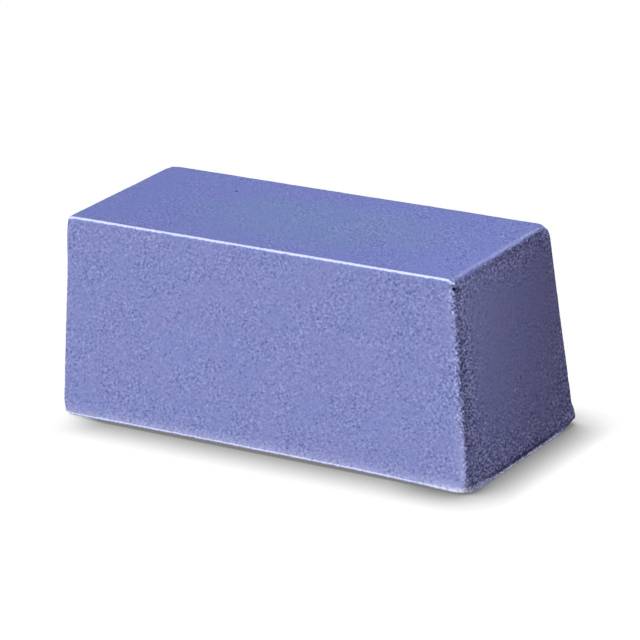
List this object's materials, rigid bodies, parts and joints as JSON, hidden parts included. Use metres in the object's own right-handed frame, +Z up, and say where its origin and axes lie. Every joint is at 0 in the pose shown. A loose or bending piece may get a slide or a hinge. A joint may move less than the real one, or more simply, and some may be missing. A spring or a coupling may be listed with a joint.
{
  "type": "rosin cake",
  "caption": "Bare rosin cake: a solid cast bar with drafted walls, a flat top to draw bow hair across, and a thin flared lip round the foot that it rests on.",
  "frame": {"origin": "middle of the foot, on the surface that the cake rests on", "axes": "+X along the length, +Y across the width, +Z up through the narrow top face"},
  "size_m": [0.0606, 0.0266, 0.026],
  "materials": {
    "rosin": "matt, fine-grained cast resin, opaque blue violet, pale along the rubbed edges"
  },
  "bodies": {
    "root": {"rosin_cake": "rosin"}
  },
  "joints": []
}
